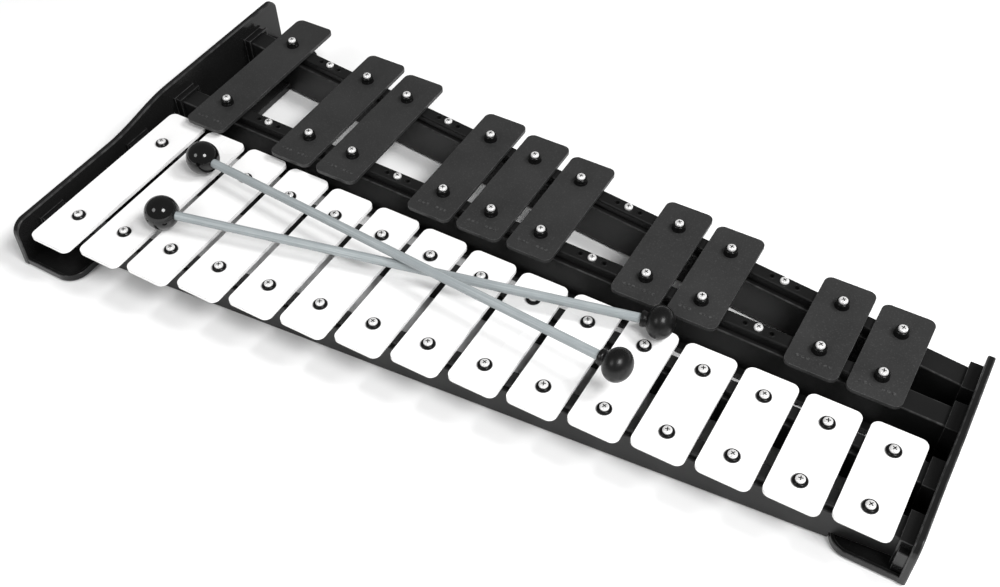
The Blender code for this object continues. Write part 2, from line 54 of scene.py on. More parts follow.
# Sizes shared with the CAD model. Each rail: depth at its left and right end, height of its top
RAIL_WIDTH = 12.0 * MM
RAIL_BOTTOM = 1.2 * MM
RAIL_REACH = 222.5 * MM
CASING_X = 227 * MM
RAILS = {
    "natural_front": (-86.8 * MM, -50.0 * MM, 20.0 * MM),
    "natural_rear": (-21.1 * MM, -21.1 * MM, 20.0 * MM),
    "sharp_front": (19.6 * MM, 9.1 * MM, 23.5 * MM),
    "sharp_rear": (82.8 * MM, 33.4 * MM, 23.5 * MM),
}
RAIL_FOOT_REACH = 4.5 * MM
RAIL_FOOT_LOW, RAIL_FOOT_HIGH = 1.4 * MM, 4.0 * MM
WALL = 3.5 * MM
NATURAL_WALL_TOP = 28.2 * MM
SHARP_WALL_TOP = 34.0 * MM
FRONT_RADIUS = 8 * MM
REAR_RADIUS = {-1: 6 * MM, 1: 1.5 * MM}
FRONT_LEAN = 1.0 * MM
FLOOR_BOTTOM = 1.2 * MM
FLOOR_TOP = 3.6 * MM
FLOOR_REACH = 35.5 * MM
FLOOR_INSET = 0.4 * MM
FLOOR_CORNER = 10 * MM
LIP_TOP = 5.0 * MM
LIP_WIDTH = 1.8 * MM
REBATE_Z = LIP_TOP + 0.3 * MM
SOCKET_WALL = 1.8 * MM
SOCKET_DEPTH = 5.5 * MM
CASING_ENDS = {-1: (-110.3 * MM, 107.7 * MM), 1: (-64.8 * MM, 42.4 * MM)}
PITCH = 29 * MM
SHARP_COLLAR = 2.9 * MM
NATURAL_COLLAR = 1.0 * MM
STRIP_WIDTH = 8 * MM
STRIP_GAP = 0.1 * MM
BAR_THICKNESS = 2 * MM
WALL_BOTTOM = 0.9 * MM
STEP_BEHIND_NATURALS = 17 * MM
STEP_BEFORE_SHARPS = 8 * MM
SOCKET_GAP = 0.5 * MM
SOCKET_TOP_GAP = 0.3 * MM
BLOCK_FRONT = 3.1 * MM
BLOCK_BEHIND = 2.1 * MM
BLOCK_TOP = 18 * MM
STRIP_SCREW_HEIGHT = 1.6 * MM
HEAD_RADIUS = 8.8 * MM
SHAFT_RADIUS = 2.35 * MM
SHAFT_START = 5 * MM
MALLET_REACH = 255 * MM
KNOB_RADIUS = 8.1 * MM
KNOB_HALF = 6.8 * MM

# One bar of each row, to read the heights of its row from, and the nodes of the strip screws
ROW_BAR = {"natural": "bar_a5", "sharp": "bar_a_sharp5"}
STRIP_SCREWS = [f"strip_screw_{end}_{i}" for end in ("front", "rear") for i in range(1, 5)]

# Sizes of the visible detail. The stamps are the raised pips on the black bars, and the spare
# holes are the open ones in the strips
BAR_CORNER = 3.8 * MM
BAR_HOLE = 2.6 * MM
BAR_EDGE = 0.45 * MM
STAMP_INSET = 6.6 * MM
STAMP_APART = 5.2 * MM
STAMP_PITCH = 2.4 * MM
STAMP_RADIUS = 0.85 * MM
STAMP_HEIGHT = 0.2 * MM
STAMP_SUNK = 0.1 * MM
SCREW_RADIUS = 2.2 * MM
SCREW_HEIGHT = 1.55 * MM
SCREW_SHANK = 1.2 * MM
SCREW_LENGTH = 2.0 * MM
COLLAR_RISE = 0.25 * MM
COLLAR_BORE = 2.2 * MM
BEAM_IN_FLOOR = 0.8 * MM
LEDGE_END_GAP = 0.6 * MM + 0.5 * MM
SPARE_HOLE_OFFSET = 6.6 * MM
SPARE_HOLE_RADII = (1.0 * MM, 1.25 * MM)
SPARE_HOLE_DEPTH = 3 * MM
BALL_BORE_DEPTH = 4.7 * MM
BALL_BORE = SHAFT_RADIUS + 0.25 * MM
SHAFT_FLUTES = 12
SHAFT_SIDES = 72
SHAFT_END_GAP = 2.9 * MM
FLUTE_DEPTH = 0.09 * MM
NECK_RADIUS = 3.7 * MM
NECK_LENGTH = 3.1 * MM
KNOB_BORE = SHAFT_RADIUS + 0.1 * MM
KNOB_BORE_END = -2.6 * MM

# Widths of the rounded edges
RAIL_EDGE = 0.7 * MM
LEDGE_EDGE = 0.5 * MM
STRIP_EDGE = 0.35 * MM
COLLAR_EDGE = 0.18 * MM
WALL_EDGE = 0.8 * MM
FLOOR_EDGE = 0.4 * MM
SOCKET_EDGE = 0.3 * MM
BLOCK_EDGE = 0.5 * MM
FOOT_EDGE = 0.15 * MM
SHAFT_EDGE = 0.25 * MM
KNOB_EDGE = 0.35 * MM

# Step that turns a running number into an angle without a pattern
GOLDEN_STEP = 0.618034

# Where the photograph was taken from: angles in degrees, lengths in bar spacings, lens in mm
CAMERA_AZIMUTH, CAMERA_ELEVATION, CAMERA_ROLL = 31.9137, 48.6372, -2.0941
CAMERA_TARGET = (0.4845, 0.6285 - 1.5534, 0.93)
CAMERA_DISTANCE = 18.712
CAMERA_LENS = 41.09
CAMERA_SENSOR = 36

# Name, direction, distance in m, diameter in m, power in W, and whether glossy surfaces show it
LIGHTS = (
    ("rear_softbox", (0.57, 0.30, 0.77), 1.8, 0.6, 22, False),
    ("side_fill", (0.94, -0.10, 0.33), 1.8, 0.9, 9, False),
    ("front_fill", (-0.05, -0.90, 0.42), 1.8, 1.2, 10, False),
    ("right_lamp", (0.539, -0.204, 0.822), 1.5, 0.56, 13, True),
    ("left_lamp", (-0.366, -0.603, 0.693), 1.5, 0.54, 3.4, True),
)
WORLD_STRENGTH = 0.21
FLOOR_HALF_WIDTH = 6


# ---------------------------------------------------------------- geometry helpers

def arc(centre, radius, start, end, steps):
    points = []
    for i in range(steps + 1):
        angle = math.radians(start + (end - start) * i / steps)
        points.append((centre[0] + radius * math.cos(angle), centre[1] + radius * math.sin(angle)))
    return points


def circle(centre, radius, sides):
    return arc(centre, radius, 0, 360, sides)[:-1]


def rounded_rectangle(x0, x1, y0, y1, radii, steps):
    """Outline of a rectangle, its corners in turn from the far right one; radius 0 is sharp."""
    corners = ((x1, y1, -1, -1, 0), (x0, y1, 1, -1, 90), (x0, y0, 1, 1, 180), (x1, y0, -1, 1, 270))
    outline = []
    for (x, y, sx, sy, start), radius in zip(corners, radii):
        if radius:
            outline += arc((x + sx * radius, y + sy * radius), radius, start, start + 90, steps)
        else:
            outline.append((x, y))
    return outline


def prism(outline, axis, low, high):
    """Bmesh of a solid with one flat outline, reaching from low to high along an axis."""
    bm = bmesh.new()
    verts = []
    for u, v in outline:
        point = [u, v]
        point.insert(axis, low)
        verts.append(bm.verts.new(point))
    sweep = [0, 0, 0]
    sweep[axis] = high - low
    end = bmesh.ops.extrude_face_region(bm, geom=[bm.faces.new(verts)])["geom"]
    bmesh.ops.translate(bm, verts=[v for v in end if isinstance(v, bmesh.types.BMVert)], vec=sweep)
    bmesh.ops.recalc_face_normals(bm, faces=bm.faces)
    return bm


def plate_with_holes(outlines, axis, low, high):
    """Bmesh of a flat plate; the outlines after the first are holes."""
    curve = bpy.data.curves.new("outline", "CURVE")
    curve.dimensions = "2D"
    curve.fill_mode = "BOTH"
    curve.extrude = (high - low) / 2
    for outline in outlines:
        spline = curve.splines.new("POLY")
        spline.points.add(len(outline) - 1)
        for point, (u, v) in zip(spline.points, outline):
            point.co = (u, v, 0, 1)
        spline.use_cyclic_u = True
    guide = bpy.data.objects.new("outline", curve)
    bpy.context.scene.collection.objects.link(guide)
    depsgraph = bpy.context.evaluated_depsgraph_get()
    flat = bpy.data.meshes.new_from_object(guide.evaluated_get(depsgraph))
    bpy.data.objects.remove(guide)
    bm = bmesh.new()
    bm.from_mesh(flat)
    bmesh.ops.remove_doubles(bm, verts=bm.verts, dist=0.001 * MM)
    for vert in bm.verts:
        u, v, w = vert.co
        point = [u, v]
        point.insert(axis, (low + high) / 2 + w)
        vert.co = point
    bmesh.ops.recalc_face_normals(bm, faces=bm.faces)
    return bm


def bevel(bm, width, segments=3, angle=30):
    """Round every edge sharper than an angle, and mark the rounded faces for painted edge shade and
    highlight.
    """
    rounded_edge = bm.faces.layers.float.get("rounded_edge") or bm.faces.layers.float.new("rounded_edge")
    limit = math.radians(angle)
    edges = [e for e in bm.edges if len(e.link_faces) == 2 and e.calc_face_angle(0) > limit]
    rounded = bmesh.ops.bevel(bm, geom=edges, offset=width, offset_type="OFFSET", segments=segments,
                              profile=0.5, affect="EDGES", clamp_overlap=True)["faces"]
    for face in rounded:
        face[rounded_edge] = 1.0
    return bm


def lathe(profile, steps):
    """Bmesh of a (radius, z) profile turned about Z; points on the axis become poles."""
    bm = bmesh.new()
    rings = []
    for radius, z in profile:
        if radius < 1e-7:
            rings.append([bm.verts.new((0, 0, z))])
        else:
            rings.append([bm.verts.new((radius * math.cos(2 * math.pi * i / steps),
                                        radius * math.sin(2 * math.pi * i / steps), z))
                          for i in range(steps)])
    for upper, lower in zip(rings, rings[1:]):
        for i in range(steps):
            j = (i + 1) % steps
            corners = [upper[i % len(upper)], lower[i % len(lower)],
                       lower[j % len(lower)], upper[j % len(upper)]]
            unique = list(dict.fromkeys(corners))
            if len(unique) > 2:
                bm.faces.new(unique)
    bmesh.ops.recalc_face_normals(bm, faces=bm.faces)
    return bm


def round_profile(points, radius, steps=4):
    """Fillet the inner corners of an open (radius, z) profile."""
    result = [points[0]]
    for before, here, after in zip(points, points[1:], points[2:]):
        here_v = Vector(here)
        to_before, to_after = Vector(before) - here_v, Vector(after) - here_v
        size = min(radius, to_before.length * 0.45, to_after.length * 0.45)
        start = here_v + to_before.normalized() * size
        end = here_v + to_after.normalized() * size
        for i in range(steps + 1):
            t = i / steps
            point = start * (1 - t) ** 2 + here_v * 2 * t * (1 - t) + end * t ** 2
            result.append((point.x, point.y))
    result.append(points[-1])
    return result


def place(bm, matrix):
    bmesh.ops.transform(bm, matrix=matrix, verts=bm.verts)
    return bm


def merged(*parts):
    """One bmesh from several, freeing them."""
    whole = bmesh.new()
    for part in parts:
        mesh = bpy.data.meshes.new("part")
        part.to_mesh(mesh)
        part.free()
        whole.from_mesh(mesh)
        bpy.data.meshes.remove(mesh)
    return whole


def boolean(bm, tool, operation="DIFFERENCE"):
    """Bmesh result of an exact Boolean; both operands are freed."""
    objects = []
    for part in (bm, tool):
        mesh = bpy.data.meshes.new("operand")
        part.to_mesh(mesh)
        part.free()
        obj = bpy.data.objects.new("operand", mesh)
        bpy.context.scene.collection.objects.link(obj)
        objects.append(obj)
    modifier = objects[0].modifiers.new("cut", "BOOLEAN")
    modifier.object = objects[1]
    modifier.operation = operation
    modifier.solver = "EXACT"
    depsgraph = bpy.context.evaluated_depsgraph_get()
    result = bpy.data.meshes.new_from_object(objects[0].evaluated_get(depsgraph))
    for obj in objects:
        bpy.data.objects.remove(obj)
    out = bmesh.new()
    out.from_mesh(result)
    bpy.data.meshes.remove(result)
    return out


def piece(name, bm, materials, body, nodes=(), smooth_angle=40, chooser=None):
    """Turn a bmesh into a finished piece that rides on a body and stands for CAD nodes."""
    mesh = bpy.data.meshes.new(name)
    if chooser:
        for face in bm.faces:
            face.material_index = chooser(face)
    bm.to_mesh(mesh)
    bm.free()
    for material in materials:
        mesh.materials.append(material)
    mesh.shade_smooth()
    mesh.set_sharp_from_angle(angle=math.radians(smooth_angle))
    obj = bpy.data.objects.new(name, mesh)
    bpy.context.scene.collection.objects.link(obj)
    normals = obj.modifiers.new("flat_faces", "WEIGHTED_NORMAL")
    normals.keep_sharp = True
    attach(obj, body)
    if nodes:
        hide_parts(*nodes)
    return obj


def rail_y(name, x):
    """Depth of a rail's centre line."""
    left, right, _ = RAILS[name]
    return left + (right - left) * (x + CASING_X) / (2 * CASING_X)


def rail_turn(name):
    """How far a rail is turned from the X axis."""
    left, right, _ = RAILS[name]
    return math.atan2(right - left, 2 * CASING_X)


# ---------------------------------------------------------------- materials

def new_material(name):
    material = bpy.data.materials.new(name)
    material.use_nodes = True
    return material, material.node_tree, material.node_tree.nodes["Principled BSDF"]


def node(tree, kind, inputs=None, **settings):
    """A shader node whose inputs are sockets to link or plain values."""
    item = tree.nodes.new(kind)
    for key, value in settings.items():
        setattr(item, key, value)
    for key, value in (inputs or {}).items():
        if isinstance(value, bpy.types.NodeSocket):
            tree.links.new(value, item.inputs[key])
        else:
            item.inputs[key].default_value = value
    return item


def noise(tree, scale, detail=4, roughness=0.55, stretch=None, distortion=0.0):
    """Noise in the piece's own coordinates; stretch scales each axis."""
    coordinates = node(tree, "ShaderNodeTexCoord").outputs["Object"]
    if stretch:
        coordinates = node(tree, "ShaderNodeMapping",
                           {"Vector": coordinates, "Scale": stretch}).outputs[0]
    return node(tree, "ShaderNodeTexNoise", {
        "Vector": coordinates, "Scale": scale, "Detail": detail, "Roughness": roughness,
        "Distortion": distortion}).outputs["Fac"]


def remap(tree, value, low, high, to_low, to_high):
    return node(tree, "ShaderNodeMapRange", {
        "Value": value, "From Min": low, "From Max": high,
        "To Min": to_low, "To Max": to_high}).outputs[0]


def across(tree, value, to_low, to_high):
    """Spread the usual range of a noise over two values."""
    return remap(tree, value, 0.3, 0.7, to_low, to_high)


def blend_colours(tree, factor, first, second):
    mix = node(tree, "ShaderNodeMix", data_type="RGBA")
    for index, value in ((0, factor), (6, first), (7, second)):
        if isinstance(value, bpy.types.NodeSocket):
            tree.links.new(value, mix.inputs[index])
        else:
            mix.inputs[index].default_value = value
    return mix.outputs[2]


def combine(tree, operation, first, second):
    item = node(tree, "ShaderNodeMath", operation=operation)
    for index, value in enumerate((first, second)):
        if isinstance(value, bpy.types.NodeSocket):
            tree.links.new(value, item.inputs[index])
        else:
            item.inputs[index].default_value = value
    return item.outputs[0]


def bump(tree, shader, layers):
    """Chain of bumps: each layer is (height socket, depth in metres, strength)."""
    normal = None
    for height, distance, strength in layers:
        item = node(tree, "ShaderNodeBump",
                    {"Height": height, "Distance": distance, "Strength": strength})
        if normal:
            tree.links.new(normal, item.inputs["Normal"])
        normal = item.outputs[0]
    tree.links.new(normal, shader.inputs["Normal"])


def painted_edge_light_mask(tree, scale, low, high):
    """Mask of the rounded edges, broken up by noise, where painted shade or painted highlight goes.
    """
    edge = node(tree, "ShaderNodeAttribute", attribute_name="rounded_edge").outputs["Fac"]
    broken = remap(tree, noise(tree, scale, 5), 0.42, 0.62, low, high)
    return combine(tree, "MULTIPLY", edge, broken)


def link(tree, socket, shader, name):
    tree.links.new(socket, shader.inputs[name])


def grey(value, warm=0.0):
    """Grey with its red raised and its blue lowered by a share of it."""
    return (value * (1 + warm), value, value * (1 - warm), 1)


def white_paint():
    """Sprayed white gloss: faint orange peel, and painted shade that greys the rounded edges."""
    material, tree, shader = new_material("white_paint")
    cloud = noise(tree, 22, 3)
    fine = noise(tree, 900, 2)
    speck = noise(tree, 2600, 1)
    edge_light = painted_edge_light_mask(tree, 260, 0.5, 1.0)
    body = blend_colours(tree, across(tree, cloud, 0, 1), grey(0.80, 0.004), grey(0.87, 0.002))
    dusted = blend_colours(tree, remap(tree, speck, 0.70, 0.80, 0, 0.35), body, grey(0.62, 0.02))
    # The rounded edges are blended to grey: painted shade.
    link(tree, blend_colours(tree, edge_light, dusted, grey(0.24, 0.02)), shader, "Base Color")
    gloss = combine(tree, "ADD", across(tree, cloud, 0.20, 0.30),
                    combine(tree, "MULTIPLY", edge_light, 0.25))
    link(tree, gloss, shader, "Roughness")
    shader.inputs["IOR"].default_value = 1.48
    bump(tree, shader, [(fine, 0.00002, 0.35), (cloud, 0.00006, 0.2)])
    return material


def underside_painted_shade():
    """Painted shade: a dark colour on the underside of the bars that throws back little light and
    so deepens the shade on the table beneath, drawn as dull rolled steel with faint stains.
    """
    material, tree, shader = new_material("underside_painted_shade")
    rolled = noise(tree, 400, 5, 0.6, stretch=(6, 0.3, 1))
    stain = noise(tree, 45, 5)
    body = blend_colours(tree, remap(tree, rolled, 0.35, 0.65, 0, 1),
                         grey(0.10, 0.02), grey(0.17, 0.01))
    link(tree, blend_colours(tree, remap(tree, stain, 0.5, 0.7, 0, 0.6), body, grey(0.06, 0.08)),
         shader, "Base Color")
    shader.inputs["Metallic"].default_value = 0.7
    link(tree, across(tree, rolled, 0.35, 0.55), shader, "Roughness")
    bump(tree, shader, [(rolled, 0.00002, 0.4)])
    return material


def black_paint():
    """Satin black stove paint: tight orange peel, and a painted highlight that makes the rounded
    edges paler.
    """
    material, tree, shader = new_material("black_paint")
    cloud = noise(tree, 35, 4)
    fine = noise(tree, 1300, 3)
    edge_light = painted_edge_light_mask(tree, 300, 0.2, 0.9)
    body = blend_colours(tree, across(tree, cloud, 0, 1), grey(0.020), grey(0.027))
    speck = blend_colours(tree, remap(tree, fine, 0.56, 0.72, 0, 0.6), body, grey(0.060))
    # The rounded edges are blended to a paler grey: painted highlight.
    link(tree, blend_colours(tree, edge_light, speck, grey(0.12)), shader, "Base Color")
    link(tree, across(tree, cloud, 0.36, 0.48), shader, "Roughness")
    shader.inputs["IOR"].default_value = 1.42
    bump(tree, shader, [(fine, 0.00005, 0.6), (cloud, 0.00006, 0.2)])
    return material


def rubbed_marks():
    """Raised marks in the black paint, rubbed a little paler and smoother than the rest."""
    material, tree, shader = new_material("rubbed_marks")
    rubbed = noise(tree, 850, 3, 0.6)
    fine = noise(tree, 1300, 3)
    link(tree, blend_colours(tree, remap(tree, rubbed, 0.40, 0.60, 0, 1), grey(0.018), grey(0.055)),
         shader, "Base Color")
    link(tree, across(tree, rubbed, 0.50, 0.28), shader, "Roughness")
    bump(tree, shader, [(fine, 0.00004, 0.5)])
    return material


def moulded_plastic(name, dark, pale, rough_low, rough_high, grain_scale, grain_depth):
    """Black moulded plastic with a fine grain, cloudy sheen, a few pale scuffs and a painted
    highlight that makes the rounded edges paler.
    """
    material, tree, shader = new_material(name)
    cloud = noise(tree, 18, 4)
    grain = noise(tree, grain_scale, 3, 0.6)
    scuff = noise(tree, 60, 6, 0.7, stretch=(1, 6, 3))
    body = blend_colours(tree, across(tree, cloud, 0, 1), grey(dark), grey(pale))
    scuffed = remap(tree, scuff, 0.66, 0.74, 0, 0.35)
    scuffed_body = blend_colours(tree, scuffed, body, grey(pale * 2.2))
    # The rounded edges are blended to a paler grey: painted highlight.
    link(tree, blend_colours(tree, painted_edge_light_mask(tree, 220, 0.25, 0.9), scuffed_body, grey(0.045)),
         shader, "Base Color")
    roughness = combine(tree, "ADD", across(tree, cloud, rough_low, rough_high),
                        combine(tree, "MULTIPLY", scuffed, 0.3))
    link(tree, roughness, shader, "Roughness")
    shader.inputs["IOR"].default_value = 1.37
    bump(tree, shader, [(grain, grain_depth, 0.5), (cloud, 0.0001, 0.12)])
    return material


def rubber(name, tone, rough):
    """Black rubber with a fine grain and paler dust."""
    material, tree, shader = new_material(name)
    cloud = noise(tree, 90, 4)
    grain = noise(tree, 1800, 3)
    dust = noise(tree, 420, 5, 0.7)
    body = blend_colours(tree, across(tree, cloud, 0, 1), grey(tone), grey(tone * 1.5))
    link(tree, blend_colours(tree, remap(tree, dust, 0.60, 0.80, 0, 0.4), body, grey(tone * 3.2)),
         shader, "Base Color")
    link(tree, across(tree, cloud, rough - 0.06, rough + 0.06), shader, "Roughness")
    shader.inputs["IOR"].default_value = 1.40
    bump(tree, shader, [(grain, 0.00003, 0.5)])
    return material


def chrome():
    """Nickel-chrome screw heads: bright, with tumbling marks and a slight grey bloom."""
    material, tree, shader = new_material("chrome")
    cloud = noise(tree, 700, 4)
    scratch = noise(tree, 2500, 3, 0.6, stretch=(1, 5, 1))
    link(tree, blend_colours(tree, remap(tree, cloud, 0.35, 0.65, 0, 1),
                             grey(0.88, 0.01), grey(0.98, 0.003)), shader, "Base Color")
    shader.inputs["Metallic"].default_value = 0.5
    link(tree, across(tree, cloud, 0.12, 0.28), shader, "Roughness")
    bump(tree, shader, [(scratch, 0.00001, 0.35)])
    return material


def recess_painted_shade():
    """Painted shade inside the cross recesses: a dull dark colour that stands in for the shadow
    there.
    """
    material, tree, shader = new_material("recess_painted_shade")
    cloud = noise(tree, 900, 4)
    link(tree, blend_colours(tree, cloud, grey(0.012), grey(0.05)), shader, "Base Color")
    link(tree, across(tree, cloud, 0.5, 0.8), shader, "Roughness")
    bump(tree, shader, [(cloud, 0.00002, 0.4)])
    return material


def gloss_ball():
    """Hard polished ball with hairline swirl marks."""
    material, tree, shader = new_material("gloss_black")
    cloud = noise(tree, 120, 5)
    swirl = noise(tree, 500, 6, 0.7, distortion=1.5)
    link(tree, blend_colours(tree, cloud, grey(0.002), grey(0.004)), shader, "Base Color")
    link(tree, remap(tree, swirl, 0.35, 0.75, 0.05, 0.14), shader, "Roughness")
    shader.inputs["IOR"].default_value = 1.50
    bump(tree, shader, [(swirl, 0.00001, 0.12)])
    return material


def grey_plastic():
    """Pale blue-grey drawn plastic rod with lengthwise die lines."""
    material, tree, shader = new_material("grey_plastic")
    lines = noise(tree, 1500, 3, 0.6, stretch=(1, 1, 0.01))
    cloud = noise(tree, 70, 4)
    body = blend_colours(tree, across(tree, cloud, 0, 1),
                         (0.30, 0.33, 0.338, 1), (0.36, 0.39, 0.398, 1))
    link(tree, blend_colours(tree, remap(tree, lines, 0.35, 0.65, 0, 0.6),
                             body, (0.16, 0.18, 0.19, 1)), shader, "Base Color")
    link(tree, across(tree, lines, 0.18, 0.32), shader, "Roughness")
    shader.inputs["IOR"].default_value = 1.49
    bump(tree, shader, [(lines, 0.00004, 0.5)])
    return material


def studio_floor():
    material, tree, shader = new_material("studio_floor")
    sweep = noise(tree, 1.5, 2)
    link(tree, blend_colours(tree, sweep, grey(0.90), grey(0.93)), shader, "Base Color")
    shader.inputs["Roughness"].default_value = 0.9
    shader.inputs["Specular IOR Level"].default_value = 0.2
    return material


WHITE = white_paint()
# Dark underside of the bars: painted shade for the table beneath them.
UNDERSIDE_SHADE = underside_painted_shade()
STAMPED = rubbed_marks()
BLACK = black_paint()
CASING_INNER = moulded_plastic("casing_gloss", 0.006, 0.010, 0.14, 0.24, 1200, 0.00001)
CASING_OUTER = moulded_plastic("casing_grain", 0.008, 0.013, 0.42, 0.54, 1500, 0.00005)
RAIL_PLASTIC = moulded_plastic("rail_plastic", 0.006, 0.010, 0.34, 0.48, 1400, 0.00003)
STRIP_RUBBER = rubber("strip_rubber", 0.004, 0.42)
COLLAR = rubber("collar_gloss", 0.0015, 0.22)
FOOT_RUBBER = rubber("foot_rubber", 0.014, 0.75)
GRIP_RUBBER = rubber("grip_rubber", 0.0035, 0.30)
# Chrome for the heads, and painted shade for their cross recesses.
SCREW_METALS = [chrome(), recess_painted_shade()]
BALL = gloss_ball()
SHAFT = grey_plastic()


# ---------------------------------------------------------------- bars

def nodes_named(start):
    """CAD nodes whose name begins in a given way."""
    return sorted(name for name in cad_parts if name.startswith(start))


def stamped_marks(x, y, top):
    """Plain register marks near the front end of a black bar: two rows of three raised pips."""
    marks = []
    for side in (-1, 1):
        for pip in (-1, 0, 1):
            centre = (x + side * STAMP_APART + pip * STAMP_PITCH, y)
            pad = prism(circle(centre, STAMP_RADIUS, 16), 2, top - STAMP_SUNK, top + STAMP_HEIGHT)
            marks.append(bevel(pad, 0.15 * MM, 2, 50))
    return marks


def make_bar(name):
    """A bar with rounded corners, edges and holes; returns where it stands and its row."""
    low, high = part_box(name)
    row = "sharp" if "sharp" in name else "natural"
    x = (low.x + high.x) / 2
    outline = rounded_rectangle(low.x, high.x, low.y, high.y, [BAR_CORNER] * 4, 8)
    holes = [circle((x, rail_y(f"{row}_{end}", x)), BAR_HOLE, 20) for end in ("front", "rear")]
    bm = bevel(plate_with_holes([outline] + holes, 2, low.z, high.z), BAR_EDGE, 3, 50)
    if row == "sharp":
        bm = merged(bm, *stamped_marks(x, low.y + STAMP_INSET, high.z))
    paint, slot_name = (BLACK, "black_bar") if row == "sharp" else (WHITE, "white_bar")

    def choose(face):
        """Dark underside below, painted shade for the table under the bars; marked paint on the
        raised pips and plain paint elsewhere.
        """
        if face.normal.z < -0.9:
            return 1
        return 2 if face.calc_center_median().z > high.z + 0.02 * MM else 0

    piece(name + "_plate", bm, [paint, UNDERSIDE_SHADE, STAMPED], BODY, [name], 40, choose)
    return x, row


# ---------------------------------------------------------------- screws

def cross_recess(radius, top, depth):
    """A tapered cross, as a driver leaves in a screw head."""
    arms = []
    for turn in (0, math.pi / 2):
        arm = bmesh.new()
        bmesh.ops.create_cube(arm, size=1)
        for vert in arm.verts:
            spread = 1.0 if vert.co.z > 0 else 0.55
            vert.co.x *= 2 * radius * spread
            vert.co.y *= 0.42 * radius * (1.0 if vert.co.z > 0 else 0.7)
            vert.co.z = top + 0.4 * MM if vert.co.z > 0 else top - depth
        arms.append(place(arm, Matrix.Rotation(turn, 4, "Z")))
    return boolean(arms[0], arms[1], "UNION")


def screw_head():
    """Cross-slotted pan head, its underside at z = 0."""
    radius, height = SCREW_RADIUS, SCREW_HEIGHT
    profile = [(0, height)]
    for angle in map(math.radians, (25, 50, 75)):
        profile.append((radius * 0.80 * math.sin(angle), height * (0.86 + 0.14 * math.cos(angle))))
    profile += [(radius * 0.90, height * 0.74), (radius * 0.97, height * 0.55),
                (radius, height * 0.30), (radius * 0.985, height * 0.08), (radius * 0.94, 0),
                (SCREW_SHANK, 0), (SCREW_SHANK, -SCREW_LENGTH), (0, -SCREW_LENGTH)]
    head = lathe(profile, 28)
    head = boolean(head, cross_recess(radius * 0.60, height, height * 0.62))
    # Faces inside the cross recess take the second material, the painted shade.
    for face in head.faces:
        centre = face.calc_center_median()
        inside = math.hypot(centre.x, centre.y) < radius * 0.64
        face.material_index = int(inside and 0.05 * MM < centre.z < height * 0.86)
    return head


def copies(template, transforms):
    """One bmesh with a copy of a template at each transform; the template is kept."""
    whole = bmesh.new()
    base = bpy.data.meshes.new("template")
    template.to_mesh(base)
    for matrix in transforms:
        mesh = base.copy()
        mesh.transform(matrix)
        whole.from_mesh(mesh)
        bpy.data.meshes.remove(mesh)
    bpy.data.meshes.remove(base)
    return whole


def scatter(index):
    """Repeatable spread of values from 0 to 1."""
    return (index * GOLDEN_STEP) % 1.0


def driven_home(index):
    """The angle that a screw was left at."""
    return Matrix.Rotation(2 * math.pi * scatter(index), 4, "Z")


def screw_transforms(points, first):
    """Screws stand upright, each driven home to its own angle."""
    return [Matrix.Translation(p) @ driven_home(first + i) for i, p in enumerate(points)]


# ---------------------------------------------------------------- rails and strips

def make_rail(name):
    """A straight beam whose ends step up over the casing floors into the sockets."""
    left, right, top = RAILS[name]
    turn = rail_turn(name)
    half = RAIL_REACH / math.cos(turn)
    foot_x = CASING_X - FLOOR_REACH + BEAM_IN_FLOOR
    side = [(-half, REBATE_Z), (-foot_x, REBATE_Z), (-foot_x, RAIL_BOTTOM), (foot_x, RAIL_BOTTOM),
            (foot_x, REBATE_Z), (half, REBATE_Z), (half, top), (-half, top)]
    bm = bevel(prism(side, 1, -RAIL_WIDTH / 2, RAIL_WIDTH / 2), RAIL_EDGE, 3)
    if name == "sharp_front":
        reach = CASING_X - FLOOR_REACH - LEDGE_END_GAP - RAIL_WIDTH * abs(math.tan(turn))
        ledge = [(-reach, RAIL_FOOT_LOW), (reach, RAIL_FOOT_LOW),
                 (reach, RAIL_FOOT_HIGH), (-reach, RAIL_FOOT_HIGH)]
        foot = prism(ledge, 1, -RAIL_WIDTH / 2 - RAIL_FOOT_REACH, 0)
        bm = merged(bm, bevel(foot, LEDGE_EDGE, 3))
    place(bm, Matrix.Translation((0, (left + right) / 2, 0)) @ Matrix.Rotation(turn, 4, "Z"))
    piece(name + "_beam", bm, [RAIL_PLASTIC], BODY, [name + "_rail"])


def collar_profile(row, low, under):
    """Sleeve and collar of a bar hole, from the top down the outer side."""
    if row == "sharp":
        top = under + SHARP_COLLAR + COLLAR_RISE
        points = [(0, top), (2.95 * MM, top), (3.3 * MM, top - 0.45 * MM),
                  (3.35 * MM, top - 1.1 * MM), (2.95 * MM, top - 1.35 * MM),
                  (3.15 * MM, top - 1.9 * MM), (3.5 * MM, under + 0.25 * MM), (3.55 * MM, under)]
    else:
        top = under + NATURAL_COLLAR + COLLAR_RISE
        points = [(0, top - COLLAR_RISE), (2.25 * MM, top - COLLAR_RISE), (2.5 * MM, top),
                  (3.0 * MM, top), (3.5 * MM, top - 0.55 * MM), (3.65 * MM, under)]
    points += [(COLLAR_BORE, under), (COLLAR_BORE, low), (0, low)]
    return round_profile(points, COLLAR_EDGE, 3)


